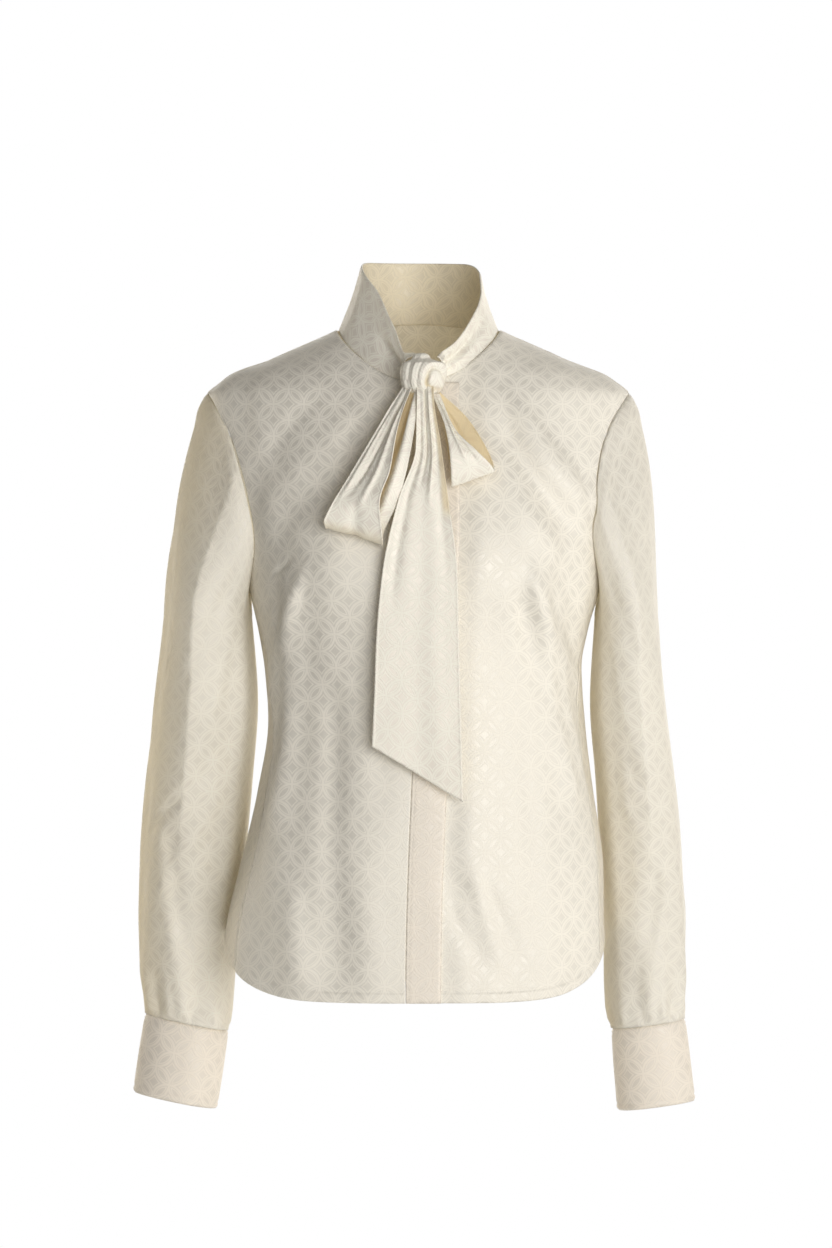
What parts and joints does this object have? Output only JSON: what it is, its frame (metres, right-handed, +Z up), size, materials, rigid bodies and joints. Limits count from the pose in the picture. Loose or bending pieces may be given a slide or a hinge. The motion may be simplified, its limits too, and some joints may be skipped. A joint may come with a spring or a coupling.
{
  "type": "tie neck blouse",
  "caption": "Long-sleeved silk blouse with a band collar tied in a soft bow at the throat, a hidden front placket, deep cuffs and a curved hem, worn and hollow.",
  "frame": {"origin": "middle of the neck base at shoulder height, where the blouse is held by the wearer's neck and shoulders", "axes": "+Z up, the front faces -Y, +X towards the wearer's left"},
  "size_m": [0.5236, 0.2723, 0.7887],
  "materials": {
    "ivory_silk": "ivory silk jacquard with a satin lustre, slightly sheer"
  },
  "bodies": {
    "root": {"front_right": "ivory_silk", "front_left": "ivory_silk", "placket": "ivory_silk", "back": "ivory_silk", "sleeve_right": "ivory_silk", "sleeve_left": "ivory_silk", "cuff_right": "ivory_silk", "cuff_left": "ivory_silk", "collar": "ivory_silk", "knot": "ivory_silk", "loop_right": "ivory_silk", "loop_left": "ivory_silk", "tail_front": "ivory_silk", "tail_back": "ivory_silk"}
  },
  "joints": []
}
